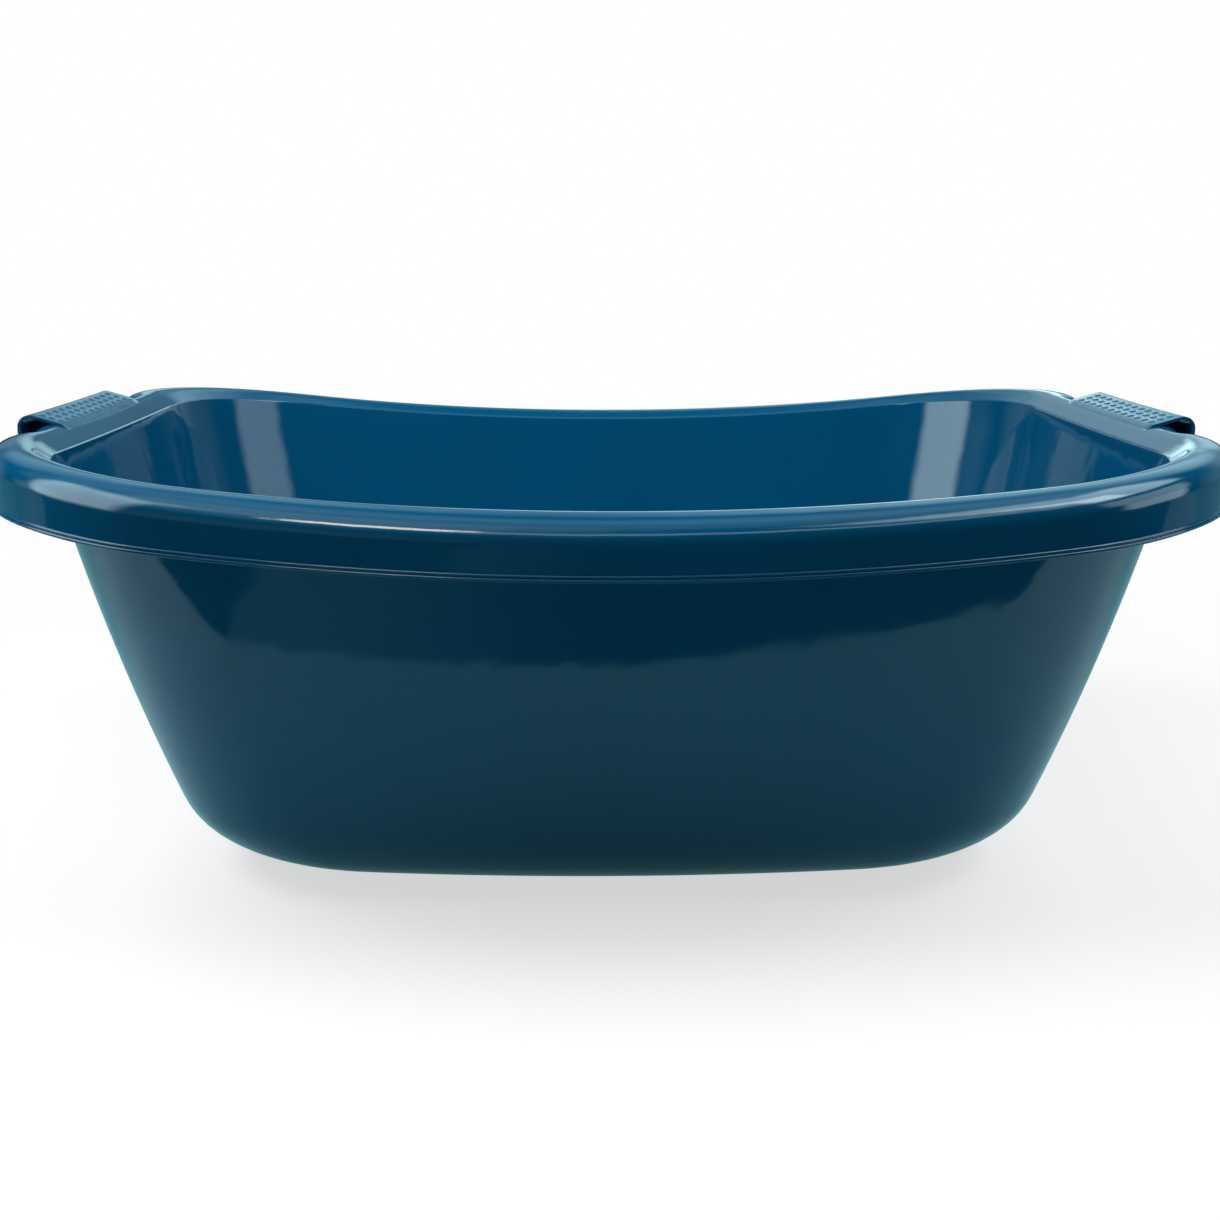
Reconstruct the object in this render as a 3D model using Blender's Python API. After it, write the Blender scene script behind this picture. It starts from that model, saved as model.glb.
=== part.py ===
"""Plastic basin: a tapering tub on a low foot, a rolled rim, and a curled, dotted grip at each end.

X runs along the basin, Y across it and Z up. The origin is at the middle of the foot's underside.
Each outline is a rounded rectangle whose four sides bow out a little.
"""

import math

import bmesh
import bpy
import numpy as np

# Lengths, in metres
WALL = 0.0020
SEAM = 0.0003

MOUTH_HALF_LENGTH = 0.23831
MOUTH_HALF_WIDTH = 0.17302
MOUTH_CORNER = 0.07454
MOUTH_SIDE_BOW = 0.00364
END_BOW = 0.00050
END_HEIGHT = 0.20350
SIDE_DIP = 0.02089
END_DIP = 0.00264

RIM_END_WIDTH = 0.02569
RIM_WIDTH = 0.02641
RIM_CORNER = 0.09775
RIM_SIDE_BOW = 0.00746
RIM_DEPTH = 0.02093
ROOT_DEPTH = 0.00300
LIP_BLEND = 0.00160
CROWN_OUT = 0.01074
SIDE_CROWN = 0.00392
END_CROWN = 0.00642
SHOULDER_DROP = 0.01100
SKIRT_DRAFT = 0.00020
BEAD_OUT = 0.00080
BEAD_HEIGHT = 0.00300

NOTCH_START = 0.05600
NOTCH_END = 0.09200
NOTCH_BLEND = 0.01200
NOTCH_SETBACK = 0.00990

BASE_CORNER = 0.06846
BASE_SIDE_BOW = 0.00584
BASE_ROUND = 0.05039
BASE_LIFT = 0.00196

FOOT_HALF_LENGTH = 0.15892
FOOT_HALF_WIDTH = 0.08333
FOOT_CORNER = 0.01931
FOOT_WIDTH = 0.00350
FOOT_EDGE = 0.00050
FOOT_DRAFT = 0.00030

GRIP_HALF_LENGTH = 0.05950
GRIP_SETBACK = 0.00989
GRIP_OVERHANG = 0.00370
GRIP_ROOT_EDGE = 0.00080
GRIP_CURL = 0.00560
GRIP_DROP = 0.01650
PIP_LENGTH = 0.00520
PIP_WIDTH = 0.00280
PIP_STEP_ALONG = 0.00930
PIP_STEP_ACROSS = 0.00430
PIP_FLANK = 0.00030
PIP_FLANK_RISE = 0.00050
PIP_ROUND = 0.00045
PIP_ROUND_RISE = 0.00025

# Angles, in radians
GRIP_TILT = math.radians(16)
SHARP_EDGE = math.radians(38)

# Slopes and shares
TOP_TAPER_SHARE = 0.1756
BASE_TAPER_SHARE = 0.2894
WIDTH_TAPER_SHARE = 1.0095
CROWN_GROWTH_POWER = 6
END_DIP_POWER = 4
BASE_COLOUR = (0.002, 0.083, 0.176, 1.0)

# Counts
PIP_ROWS = 3
PIP_COLUMNS = 12
END_STEPS = 3
CORNER_STEPS = 10
SIDE_STEPS = 6
BLEND_STEPS = 4
LIP_STEPS = 3
BAND_STEPS = 3
SHOULDER_STEPS = 6
BEAD_STEPS = 4
WALL_STEPS = 5
BASE_STEPS = 7
CURL_STEPS = 8
LIP_END_STEPS = 3
LAP_STEPS = 4
SEARCH_STEPS = 40

RIM_HALF_LENGTH = MOUTH_HALF_LENGTH + RIM_END_WIDTH
GRIP_ROOT_OUT = MOUTH_HALF_LENGTH + GRIP_SETBACK
GRIP_REACH = RIM_HALF_LENGTH + GRIP_OVERHANG
BASE_LEAN = math.atan(BASE_TAPER_SHARE)
WALL_FOOT = BASE_LIFT + BASE_ROUND * (1 - math.sin(BASE_LEAN))
WALL_HEIGHT = END_HEIGHT - WALL_FOOT
END_PART, CORNER_PART, SIDE_PART = range(3)


def clear_scene():
    for thing in list(bpy.data.objects):
        bpy.data.objects.remove(thing, do_unlink=True)


def blend(share):
    """0 to 1 with level ends, as share goes from 0 to 1"""
    share = np.clip(share, 0, 1)
    return share * share * (3 - 2 * share)


def layout(end_shares):
    """The parts, shares and signs of a ring's points, anticlockwise from the middle of the right end"""
    quarter = [(END_PART, share) for share in end_shares]
    quarter += [(CORNER_PART, step / CORNER_STEPS) for step in range(CORNER_STEPS)]
    quarter += [(SIDE_PART, 1 - step / SIDE_STEPS) for step in range(SIDE_STEPS)]
    middle = [(SIDE_PART, 0)]
    points = [(part, share, 1, 1) for part, share in quarter + middle]
    points += [(part, share, -1, 1) for part, share in quarter[::-1]]
    points += [(part, share, -1, -1) for part, share in quarter[1:] + middle]
    points += [(part, share, 1, -1) for part, share in quarter[:0:-1]]
    return np.array(points, float).T


def outline(ring, half_length, half_width, corner, side_bow):
    """x and y of a ring's points. Each size is one number, or one for each point."""
    part, share, sign_x, sign_y = ring
    corner_x = half_length - corner - END_BOW
    corner_y = half_width - corner - side_bow
    side_radius = (corner_x**2 + side_bow**2) / (2 * side_bow)
    end_radius = (corner_y**2 + END_BOW**2) / (2 * END_BOW)
    side_turn = np.arcsin(corner_x / side_radius)
    end_turn = np.arcsin(corner_y / end_radius)
    end_angle = end_turn * share
    corner_angle = end_turn + (math.pi / 2 - side_turn - end_turn) * share
    side_angle = side_turn * share
    choices = [part == END_PART, part == CORNER_PART, part == SIDE_PART]
    x = np.select(
        choices,
        [
            half_length - (end_radius + corner) * (1 - np.cos(end_angle)),
            corner_x + corner * np.cos(corner_angle),
            (side_radius + corner) * np.sin(side_angle),
        ],
    )
    y = np.select(
        choices,
        [
            (end_radius + corner) * np.sin(end_angle),
            corner_y + corner * np.sin(corner_angle),
            half_width - (side_radius + corner) * (1 - np.cos(side_angle)),
        ],
    )
    return sign_x * x, sign_y * y


def outside(x, y, half_length, half_width, corner, side_bow):
    """How far each point lies outside an outline, or below zero inside it"""
    x, y = np.abs(x), np.abs(y)
    corner_x = half_length - corner - END_BOW
    corner_y = half_width - corner - side_bow
    side_radius = (corner_x**2 + side_bow**2) / (2 * side_bow)
    end_radius = (corner_y**2 + END_BOW**2) / (2 * END_BOW)
    side_turn = np.arcsin(corner_x / side_radius)
    end_turn = np.arcsin(corner_y / end_radius)
    angle = np.arctan2(y - corner_y, x - corner_x)
    end_centre = half_length - corner - end_radius
    side_centre = half_width - corner - side_radius
    return np.select(
        [angle < end_turn, angle > math.pi / 2 - side_turn],
        [
            np.hypot(x - end_centre, y) - end_radius - corner,
            np.hypot(x, y - side_centre) - side_radius - corner,
        ],
        np.hypot(x - corner_x, y - corner_y) - corner,
    )


def mouth_height(x, y):
    """Height of the mouth's edge, which dips along the sides and a little at the ends"""
    along = np.minimum(np.abs(x) / RIM_HALF_LENGTH, 1)
    across = np.minimum(np.abs(y) / MOUTH_HALF_WIDTH, 1)
    at_end = np.minimum(np.abs(x) / MOUTH_HALF_LENGTH, 1) ** END_DIP_POWER
    return END_HEIGHT - SIDE_DIP * (1 - along**2) - END_DIP * (1 - across**2) * at_end


def crown_rise(x):
    """How far the rim's crown stands above the mouth's edge"""
    along = np.minimum(np.abs(x) / RIM_HALF_LENGTH, 1)
    return SIDE_CROWN + (END_CROWN - SIDE_CROWN) * along**CROWN_GROWTH_POWER


def band_share(out):
    """Share of the crown's rise that the rim's inner band has reached"""
    return 1 - (1 - out / CROWN_OUT) ** 2


def rim_outline(ring, out):
    """The rim's outline at a distance out from the mouth's edge"""
    share = out / RIM_WIDTH
    return outline(
        ring,
        MOUTH_HALF_LENGTH + RIM_END_WIDTH * share,
        MOUTH_HALF_WIDTH + out,
        MOUTH_CORNER + (RIM_CORNER - MOUTH_CORNER) * share,
        MOUTH_SIDE_BOW + (RIM_SIDE_BOW - MOUTH_SIDE_BOW) * share,
    )


def width_share(ring):
    """Share of its full width that the rim has at each point: less in the notches beside the grips"""
    _, y = rim_outline(ring, 0)
    start = blend((np.abs(y) - NOTCH_START) / NOTCH_BLEND)
    end = blend((NOTCH_END - np.abs(y)) / NOTCH_BLEND)
    return 1 - NOTCH_SETBACK / RIM_WIDTH * start * end


def rim_ring(ring, out, crown, height):
    """One ring of the rim, its height a share of the crown's rise and a length"""
    x, y = rim_outline(ring, out * width_share(ring))
    return np.stack([x, y, mouth_height(x, y) + crown_rise(x) * crown + height], axis=1)


def lip_profile():
    """The rounded edge between the tub's inner face and the rim's band"""
    lean = math.atan(TOP_TAPER_SHARE)
    reach = LIP_BLEND / CROWN_OUT
    low = np.array([-LIP_BLEND * math.sin(lean), reach**2, -LIP_BLEND * math.cos(lean)])
    bend = np.array([0, reach**2, 0])
    high = np.array([LIP_BLEND, band_share(LIP_BLEND), 0])
    steps = [step / LIP_STEPS for step in range(LIP_STEPS + 1)]
    return [(1 - s) ** 2 * low + 2 * s * (1 - s) * bend + s**2 * high for s in steps]


def skin_profile():
    """The rim's upper face from the mouth's edge to the shoulder's foot, as out, crown share and height"""
    profile = lip_profile()
    for step in range(1, BAND_STEPS + 1):
        out = LIP_BLEND + (CROWN_OUT - LIP_BLEND) * step / BAND_STEPS
        profile.append((out, band_share(out), 0))
    shoulder = RIM_WIDTH - BEAD_OUT - SKIRT_DRAFT - CROWN_OUT
    for step in range(1, SHOULDER_STEPS + 1):
        angle = math.pi / 2 * step / SHOULDER_STEPS
        drop = SHOULDER_DROP * (1 - math.cos(angle))
        profile.append((CROWN_OUT + shoulder * math.sin(angle), 1, -drop))
    return profile


def bead_profile():
    """The half-round bead along the skirt's lower edge"""
    middle = -RIM_DEPTH + BEAD_HEIGHT / 2
    profile = []
    for step in range(BEAD_STEPS + 1):
        angle = math.pi / 2 - math.pi * step / BEAD_STEPS
        out = RIM_WIDTH - BEAD_OUT + BEAD_OUT * math.cos(angle)
        profile.append((out, 0, middle + BEAD_HEIGHT / 2 * math.sin(angle)))
    return profile


def under_face(rings):
    """The rings moved by the wall's thickness, square to the section's path"""
    path = np.gradient(rings, axis=0)
    outward = rings[-1, :, :2] - rings[0, :, :2]
    outward /= np.linalg.norm(outward, axis=1, keepdims=True)
    run = (path[:, :, :2] * outward).sum(axis=2)
    rise = path[:, :, 2]
    length = np.hypot(run, rise)
    moved = rings.copy()
    moved[:, :, :2] += WALL * (rise / length)[:, :, None] * outward
    moved[:, :, 2] -= WALL * run / length
    return moved


def wall_inset(share):
    """How far the wall has come in at a share of its height, counted down from the mouth"""
    bend = (BASE_TAPER_SHARE - TOP_TAPER_SHARE) * share**2 / 2
    return WALL_HEIGHT * (TOP_TAPER_SHARE * share + bend)


def wall_ring(ring, share, depth):
    """One ring of the tub's wall, at a depth behind its outer face"""
    lean = math.atan(TOP_TAPER_SHARE + (BASE_TAPER_SHARE - TOP_TAPER_SHARE) * share)
    inset = wall_inset(share)
    behind = WALL - depth * math.cos(lean)
    x, y = outline(
        ring,
        MOUTH_HALF_LENGTH - inset + behind,
        MOUTH_HALF_WIDTH - inset * WIDTH_TAPER_SHARE + behind,
        MOUTH_CORNER + (BASE_CORNER - MOUTH_CORNER) * share + behind,
        MOUTH_SIDE_BOW + (BASE_SIDE_BOW - MOUTH_SIDE_BOW) * share,
    )
    top = mouth_height(*rim_outline(ring, WALL))
    height = top * (1 - share) + WALL_FOOT * share + depth * math.sin(lean)
    return np.stack([x, y, height], axis=1)


def base_sizes(reach):
    """Half-length, half-width, corner and bow of the rounded base, at a reach out from its flat floor"""
    inset = wall_inset(1) + BASE_ROUND * math.cos(BASE_LEAN)
    return (
        MOUTH_HALF_LENGTH + WALL - inset + reach,
        MOUTH_HALF_WIDTH + WALL - (inset - reach) * WIDTH_TAPER_SHARE,
        BASE_CORNER + WALL,
        BASE_SIDE_BOW,
    )


def base_ring(ring, angle, depth):
    """One ring of the rounded base, at a depth behind its outer face"""
    radius = BASE_ROUND - depth
    half_length, half_width, corner, bow = base_sizes(radius * math.cos(angle))
    corner -= depth * math.cos(angle)
    x, y = outline(ring, half_length, half_width, corner, bow)
    height = BASE_LIFT + BASE_ROUND - radius * math.sin(angle)
    return np.stack([x, y, np.full_like(x, height)], axis=1)


def base_height(x, y):
    """Height of the base's underside over each point, found by halving"""
    low, high = np.zeros_like(x), np.full_like(x, BASE_ROUND)
    for _ in range(SEARCH_STEPS):
        reach = (low + high) / 2
        beyond = outside(x, y, *base_sizes(reach)) > 0
        low = np.where(beyond, reach, low)
        high = np.where(beyond, high, reach)
    flat = outside(x, y, *base_sizes(np.zeros_like(x))) <= 0
    reach = np.where(flat, 0, low)
    return BASE_LIFT + BASE_ROUND - np.sqrt(BASE_ROUND**2 - reach**2)


def plastic(name):
    material = bpy.data.materials.new(name)
    material.use_nodes = True
    shader = material.node_tree.nodes["Principled BSDF"]
    shader.inputs["Base Color"].default_value = BASE_COLOUR
    shader.inputs["Roughness"].default_value = 0.22
    shader.inputs["Metallic"].default_value = 0.0
    return material


def finish(name, shape):
    """Makes an object of a closed bmesh, its faces turned outward and smooth but for its sharp edges"""
    bmesh.ops.recalc_face_normals(shape, faces=shape.faces)
    mesh = bpy.data.meshes.new(name)
    shape.to_mesh(mesh)
    shape.free()
    mesh.shade_smooth()
    mesh.set_sharp_from_angle(angle=SHARP_EDGE)
    mesh.materials.append(plastic(name))
    made = bpy.data.objects.new(name, mesh)
    bpy.context.scene.collection.objects.link(made)
    return made


def add_rings(shape, rings, closed):
    """Adds rings of points and the faces between each ring and the next"""
    rows = [[shape.verts.new(point) for point in ring] for ring in rings]
    pairs = list(zip(rows, rows[1:]))
    if closed:
        pairs.append((rows[-1], rows[0]))
    for first, second in pairs:
        for index, corner in enumerate(first):
            after = (index + 1) % len(first)
            shape.faces.new([corner, first[after], second[after], second[index]])
    return rows


def tub():
    """The floor and the tapering wall, up to the seam under the rim's root"""
    ring = layout([step / END_STEPS for step in range(END_STEPS)])
    top = (ROOT_DEPTH + SEAM) / WALL_HEIGHT
    shares = [top + (1 - top) * step / WALL_STEPS for step in range(WALL_STEPS)]
    turns = [BASE_LEAN + (math.pi / 2 - BASE_LEAN) * step / BASE_STEPS for step in range(BASE_STEPS + 1)]
    outer = [wall_ring(ring, share, 0) for share in shares]
    outer += [base_ring(ring, turn, 0) for turn in turns]
    inner = [wall_ring(ring, share, WALL) for share in shares]
    inner += [base_ring(ring, turn, WALL) for turn in turns]
    shape = bmesh.new()
    rows = add_rings(shape, outer[::-1] + inner, False)
    shape.faces.new(rows[0])
    shape.faces.new(rows[-1])
    return finish("tub", shape)


def rim():
    """The rolled rim: root, band, shoulder, skirt and bead, with the notches beside the grips"""
    corner_y = MOUTH_HALF_WIDTH - MOUTH_CORNER - MOUTH_SIDE_BOW
    places = [0, NOTCH_START / 2]
    for start in (NOTCH_START, NOTCH_END - NOTCH_BLEND):
        places += [start + NOTCH_BLEND * step / BLEND_STEPS for step in range(BLEND_STEPS + 1)]
    ring = layout([place / corner_y for place in places])
    root = ROOT_DEPTH / WALL_HEIGHT
    skin = [rim_ring(ring, *point) for point in skin_profile()]
    bead = [rim_ring(ring, *point) for point in bead_profile()]
    under = under_face(np.array(skin + bead[-1:]))
    rings = [wall_ring(ring, root, WALL), *skin, *bead, *under[::-1], wall_ring(ring, root, 0)]
    shape = bmesh.new()
    add_rings(shape, rings, True)
    return finish("rim", shape)


def foot_ring():
    """The low ring that the basin stands on, its top cut to the rounded base"""
    ring = layout([step / END_STEPS for step in range(END_STEPS)])

    def face(inset, height):
        x, y = outline(
            ring,
            FOOT_HALF_LENGTH - inset,
            FOOT_HALF_WIDTH - inset,
            FOOT_CORNER - inset,
            BASE_SIDE_BOW,
        )
        if height is None:
            return np.stack([x, y, base_height(x, y) - SEAM], axis=1)
        return np.stack([x, y, np.full_like(x, height)], axis=1)

    rings = [
        face(-FOOT_DRAFT, None),
        face(0, FOOT_EDGE),
        face(FOOT_EDGE, 0),
        face(FOOT_WIDTH - FOOT_EDGE, 0),
        face(FOOT_WIDTH, FOOT_EDGE),
        face(FOOT_WIDTH + FOOT_DRAFT, None),
    ]
    shape = bmesh.new()
    add_rings(shape, rings, True)
    return finish("foot_ring", shape)


def roll_height(x, y):
    """Height of the rim's upper face outside the mouth, at an end"""
    out = (x - MOUTH_HALF_LENGTH) * RIM_WIDTH / RIM_END_WIDTH
    shoulder = RIM_WIDTH - BEAD_OUT - SKIRT_DRAFT - CROWN_OUT
    beyond = min(max(out - CROWN_OUT, 0) / shoulder, 1)
    drop = SHOULDER_DROP * (1 - math.sqrt(1 - beyond**2))
    rise = crown_rise(x) * band_share(min(out, CROWN_OUT))
    return float(mouth_height(x, y) + rise - drop)


def grip_flat():
    """Length of the grip's sloping top, from its root to the start of its curl"""
    curl_out = GRIP_CURL * (1 + math.sin(GRIP_TILT))
    return (GRIP_REACH - curl_out - GRIP_ROOT_OUT) / math.cos(GRIP_TILT)


def row_edges():
    """Where the rows of pips start and end, from the grip's root outward"""
    first = grip_flat() / 2 - PIP_STEP_ACROSS * (PIP_ROWS - 1) / 2
    middles = [first + PIP_STEP_ACROSS * row for row in range(PIP_ROWS)]
    return [middle + side * PIP_WIDTH / 2 for middle in middles for side in (-1, 1)]


def column_edges():
    """Where the columns of pips start and end, along the grip"""
    first = -PIP_STEP_ALONG * (PIP_COLUMNS - 1) / 2
    middles = [first + PIP_STEP_ALONG * column for column in range(PIP_COLUMNS)]
    return [middle + side * PIP_LENGTH / 2 for middle in middles for side in (-1, 1)]


def grip_top(y):
    """The points of the sloping top, from the root to the curl"""
    start = roll_height(GRIP_ROOT_OUT, y) + SEAM + GRIP_ROOT_EDGE
    distances = [0, *row_edges(), grip_flat()]
    return [
        (GRIP_ROOT_OUT + far * math.cos(GRIP_TILT), start + far * math.sin(GRIP_TILT))
        for far in distances
    ]


def grip_lap(y, start, end):
    """The underside, from the curl back to the root, which lies on the rim's crown"""
    points = []
    for step in range(LAP_STEPS + 1):
        share = 1 - step / LAP_STEPS
        x = start[0] + (end[0] - start[0]) * share
        plate = start[1] + (end[1] - start[1]) * share - WALL / math.cos(GRIP_TILT)
        points.append((x, max(plate, roll_height(x, y) + SEAM)))
    return points


def grip_rest(y):
    """The points of the curl, the lip and the underside, back to the root"""
    top = grip_top(y)
    end = top[-1]
    centre_x = end[0] + GRIP_CURL * math.sin(GRIP_TILT)
    centre_z = end[1] - GRIP_CURL * math.cos(GRIP_TILT)
    sweep = math.pi / 2 + GRIP_TILT
    turns = [sweep * (1 - step / CURL_STEPS) for step in range(1, CURL_STEPS + 1)]
    points = [(centre_x + GRIP_CURL * math.cos(a), centre_z + GRIP_CURL * math.sin(a)) for a in turns]
    edge = WALL / 2
    low = centre_z + GRIP_CURL - GRIP_DROP + edge
    for step in range(LIP_END_STEPS + 1):
        angle = -math.pi * step / LIP_END_STEPS
        points.append((GRIP_REACH - edge + edge * math.cos(angle), low + edge * math.sin(angle)))
    inner = GRIP_CURL - WALL
    points += [(centre_x + inner * math.cos(a), centre_z + inner * math.sin(a)) for a in turns[::-2]]
    return points + grip_lap(y, top[0], end)


def grip(name, side):
    """A curled plate laid on the rim's crown. Only its dotted top needs a fine grid."""
    edges = column_edges()
    fine = sorted({-GRIP_HALF_LENGTH, 0, GRIP_HALF_LENGTH, *edges})
    coarse = [fine[0], fine[1], 0, fine[-2], fine[-1]]
    shape = bmesh.new()
    top = [[shape.verts.new((side * x, y, z)) for x, z in grip_top(y)] for y in fine]
    rest = [[shape.verts.new((side * x, y, z)) for x, z in grip_rest(y)] for y in coarse]
    pips = []
    for index, (first, second) in enumerate(zip(top, top[1:])):
        in_column = any(abs(fine[index] - edge) < PIP_FLANK for edge in edges[::2])
        for line in range(len(first) - 1):
            face = shape.faces.new([first[line], first[line + 1], second[line + 1], second[line]])
            if in_column and line % 2 == 1:
                pips.append(face)
    for index, (first, second) in enumerate(zip(rest, rest[1:])):
        for line in range(len(first) - 1):
            shape.faces.new([first[line], first[line + 1], second[line + 1], second[line]])
        start, end = fine.index(coarse[index]), fine.index(coarse[index + 1])
        shape.faces.new([row[-1] for row in top[start : end + 1]] + [second[0], first[0]])
        shape.faces.new([row[0] for row in top[start : end + 1]] + [second[-1], first[-1]])
    shape.faces.new(top[0] + rest[0])
    shape.faces.new(top[-1] + rest[-1])
    bmesh.ops.recalc_face_normals(shape, faces=shape.faces)
    bmesh.ops.inset_individual(shape, faces=pips, thickness=PIP_FLANK, depth=PIP_FLANK_RISE)
    bmesh.ops.inset_individual(shape, faces=pips, thickness=PIP_ROUND, depth=PIP_ROUND_RISE)
    return finish(name, shape)


def main():
    clear_scene()
    tub()
    foot_ring()
    rim()
    grip("grip_left", -1)
    grip("grip_right", 1)


main()
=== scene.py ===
"""Dressed view of the plastic basin.

The moulded shell, its foot and its grips are lofted again at a fine step from the sizes of the CAD,
so that the gloss runs unbroken over the seams that divide the solids.
"""

import math

import bmesh
import bpy
import numpy as np
from mathutils import Matrix, Vector

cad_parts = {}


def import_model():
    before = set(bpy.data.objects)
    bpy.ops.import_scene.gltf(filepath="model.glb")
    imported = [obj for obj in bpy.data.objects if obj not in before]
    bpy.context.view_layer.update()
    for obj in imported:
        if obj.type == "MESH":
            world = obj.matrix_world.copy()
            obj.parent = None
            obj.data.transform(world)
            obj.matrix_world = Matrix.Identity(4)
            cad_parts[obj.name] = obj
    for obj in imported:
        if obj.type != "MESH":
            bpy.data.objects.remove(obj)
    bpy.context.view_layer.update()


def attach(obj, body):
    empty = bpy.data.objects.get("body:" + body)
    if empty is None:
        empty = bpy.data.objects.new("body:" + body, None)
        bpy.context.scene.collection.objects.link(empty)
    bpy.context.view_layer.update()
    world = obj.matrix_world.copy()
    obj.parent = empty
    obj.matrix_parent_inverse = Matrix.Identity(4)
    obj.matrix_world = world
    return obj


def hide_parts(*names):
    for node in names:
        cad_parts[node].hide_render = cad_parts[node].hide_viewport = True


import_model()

# Lengths, in metres, the same as in the part's source
WALL = 0.0020
MOUTH_HALF_LENGTH = 0.23831
MOUTH_HALF_WIDTH = 0.17302
MOUTH_CORNER = 0.07454
MOUTH_SIDE_BOW = 0.00364
END_BOW = 0.00050
END_HEIGHT = 0.20350
SIDE_DIP = 0.02089
END_DIP = 0.00264
RIM_HALF_LENGTH = 0.26400
RIM_WIDTH = 0.02641
RIM_CORNER = 0.09775
RIM_SIDE_BOW = 0.00746
RIM_DEPTH = 0.02093
CROWN_OUT = 0.01074
SIDE_CROWN = 0.00392
END_CROWN = 0.00642
SHOULDER_DROP = 0.01100
SKIRT_DRAFT = 0.00020
BEAD_OUT = 0.00080
NOTCH_START = 0.05600
NOTCH_END = 0.09200
NOTCH_BLEND = 0.01200
NOTCH_SETBACK = 0.00990
BASE_CORNER = 0.06846
BASE_SIDE_BOW = 0.00584
BASE_ROUND = 0.05039
BASE_LIFT = 0.00196
FOOT_HALF_LENGTH = 0.15892
FOOT_HALF_WIDTH = 0.08333
FOOT_CORNER = 0.01931
FOOT_WIDTH = 0.00350
GRIP_HALF_LENGTH = 0.05950
GRIP_ROOT_OUT = 0.24820
GRIP_REACH = 0.26770
GRIP_CURL = 0.00560
GRIP_DROP = 0.01650
PIP_LENGTH = 0.00520
PIP_WIDTH = 0.00280
PIP_STEP_ALONG = 0.00930
PIP_STEP_ACROSS = 0.00430

# Lengths that only this view has
LIP_BLEND = 0.00080
FOOT_EDGE = 0.00060
FOOT_SINK = 0.0006
FOOT_FLARE = 0.0003
GRIP_WALL = 0.00140
GRIP_STEP = 0.00110
GRIP_RAMP = 0.0042
GRIP_RAMP_PAST = 0.0007
GRIP_RAMP_SINK = 0.0003
GRIP_PLATE_START = 0.0008
GRIP_UNDER_START = 0.0030
GRIP_UNDER_SINK = 0.0008
GRIP_BEVEL = 0.00040
PIP_RISE = 0.00045
# Ridges of the bead: root, reach, middle, half height, first and last angle in degrees
BEAD_RIDGES = [
    (0.0, 0.00060, 0.00225, 0.00072, 90, -75),
    (0.00005, 0.00075, 0.00078, 0.00078, 75, -90),
]

# Shares, slopes and powers
BAND_STRAIGHT = 0.55
WALL_START = 0.02
TOP_TAPER = 0.1756
BASE_TAPER = 0.2894
WIDTH_TAPER = 1.0095
CROWN_GROWTH_POWER = 6
END_DIP_POWER = 4
PIP_OUTLINE_POWER = 3
PIP_DOME_POWER = 4
PIP_SHARES = (-1.02, -0.97, -0.85, -0.6, -0.3, 0, 0.3, 0.6, 0.85, 0.97, 1.02)
PLATE_SHARES = (0.3, 0.6)
BEVEL_ROUNDNESS = 0.5
GRIP_TILT = math.radians(16)
SHARP_EDGE = math.radians(40)

# Counts
PIP_ROWS = 3
PIP_COLUMNS = 12
CORNER_STEPS, SIDE_STEPS = 28, 30
LIP_POINTS, BAND_POINTS, SHOULDER_POINTS = 7, 9, 20
RIDGE_POINTS = 10
WALL_RINGS, BASE_RINGS, FLOOR_STEPS = 14, 15, 6
JOIN_STEPS = 4
FOOT_END_STEPS, FOOT_CORNER_STEPS, FOOT_SIDE_STEPS = 12, 20, 24
FOOT_EDGE_POINTS = 5
RAMP_POINTS, CURL_POINTS, EDGE_POINTS, INNER_POINTS, UNDER_POINTS = 9, 20, 9, 14, 8
BEVEL_SEGMENTS = 3
SEARCH_STEPS = 40
# Places across the rim's end where the shell has its points, close together at the notches
END_PLACES = [
    *np.arange(0, 0.055, 0.006),
    *np.linspace(NOTCH_START, NOTCH_START + NOTCH_BLEND, 13),
    0.071, 0.074, 0.077,
    *np.linspace(NOTCH_END - NOTCH_BLEND, NOTCH_END, 13),
]

# Sizes worked out from these
SHOULDER_OUT = RIM_WIDTH - BEAD_OUT - SKIRT_DRAFT - CROWN_OUT
BASE_LEAN = math.atan(BASE_TAPER)
WALL_FOOT = BASE_LIFT + BASE_ROUND * (1 - math.sin(BASE_LEAN))
WALL_HEIGHT = END_HEIGHT - WALL_FOOT

END_PART, CORNER_PART, SIDE_PART = range(3)

# The plastic: its two tints, its noises as scale and detail, and its bumps as strength and depth
DARK_TINT = (0.0008, 0.0800, 0.1800)
LIGHT_TINT = (0.0010, 0.0880, 0.1980)
PLASTIC_IOR = 1.5
TINT_NOISE = (9.0, 3.0)
GLOSS_NOISE = (26.0, 5.0)
SKIN_NOISE = (1500.0, 2.0)
WAVE_NOISE = (60.0, 1.0)
NOISE_RANGE = (0.3, 0.7)
SKIN_BUMP = (0.10, 0.00002)
WAVE_BUMP = (0.30, 0.00025)
# Roughness of each piece, and how far it strays
SHELL_GLOSS = (0.07, 0.015)
FOOT_GLOSS = (0.15, 0.03)
GRIP_GLOSS = (0.20, 0.03)

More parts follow.
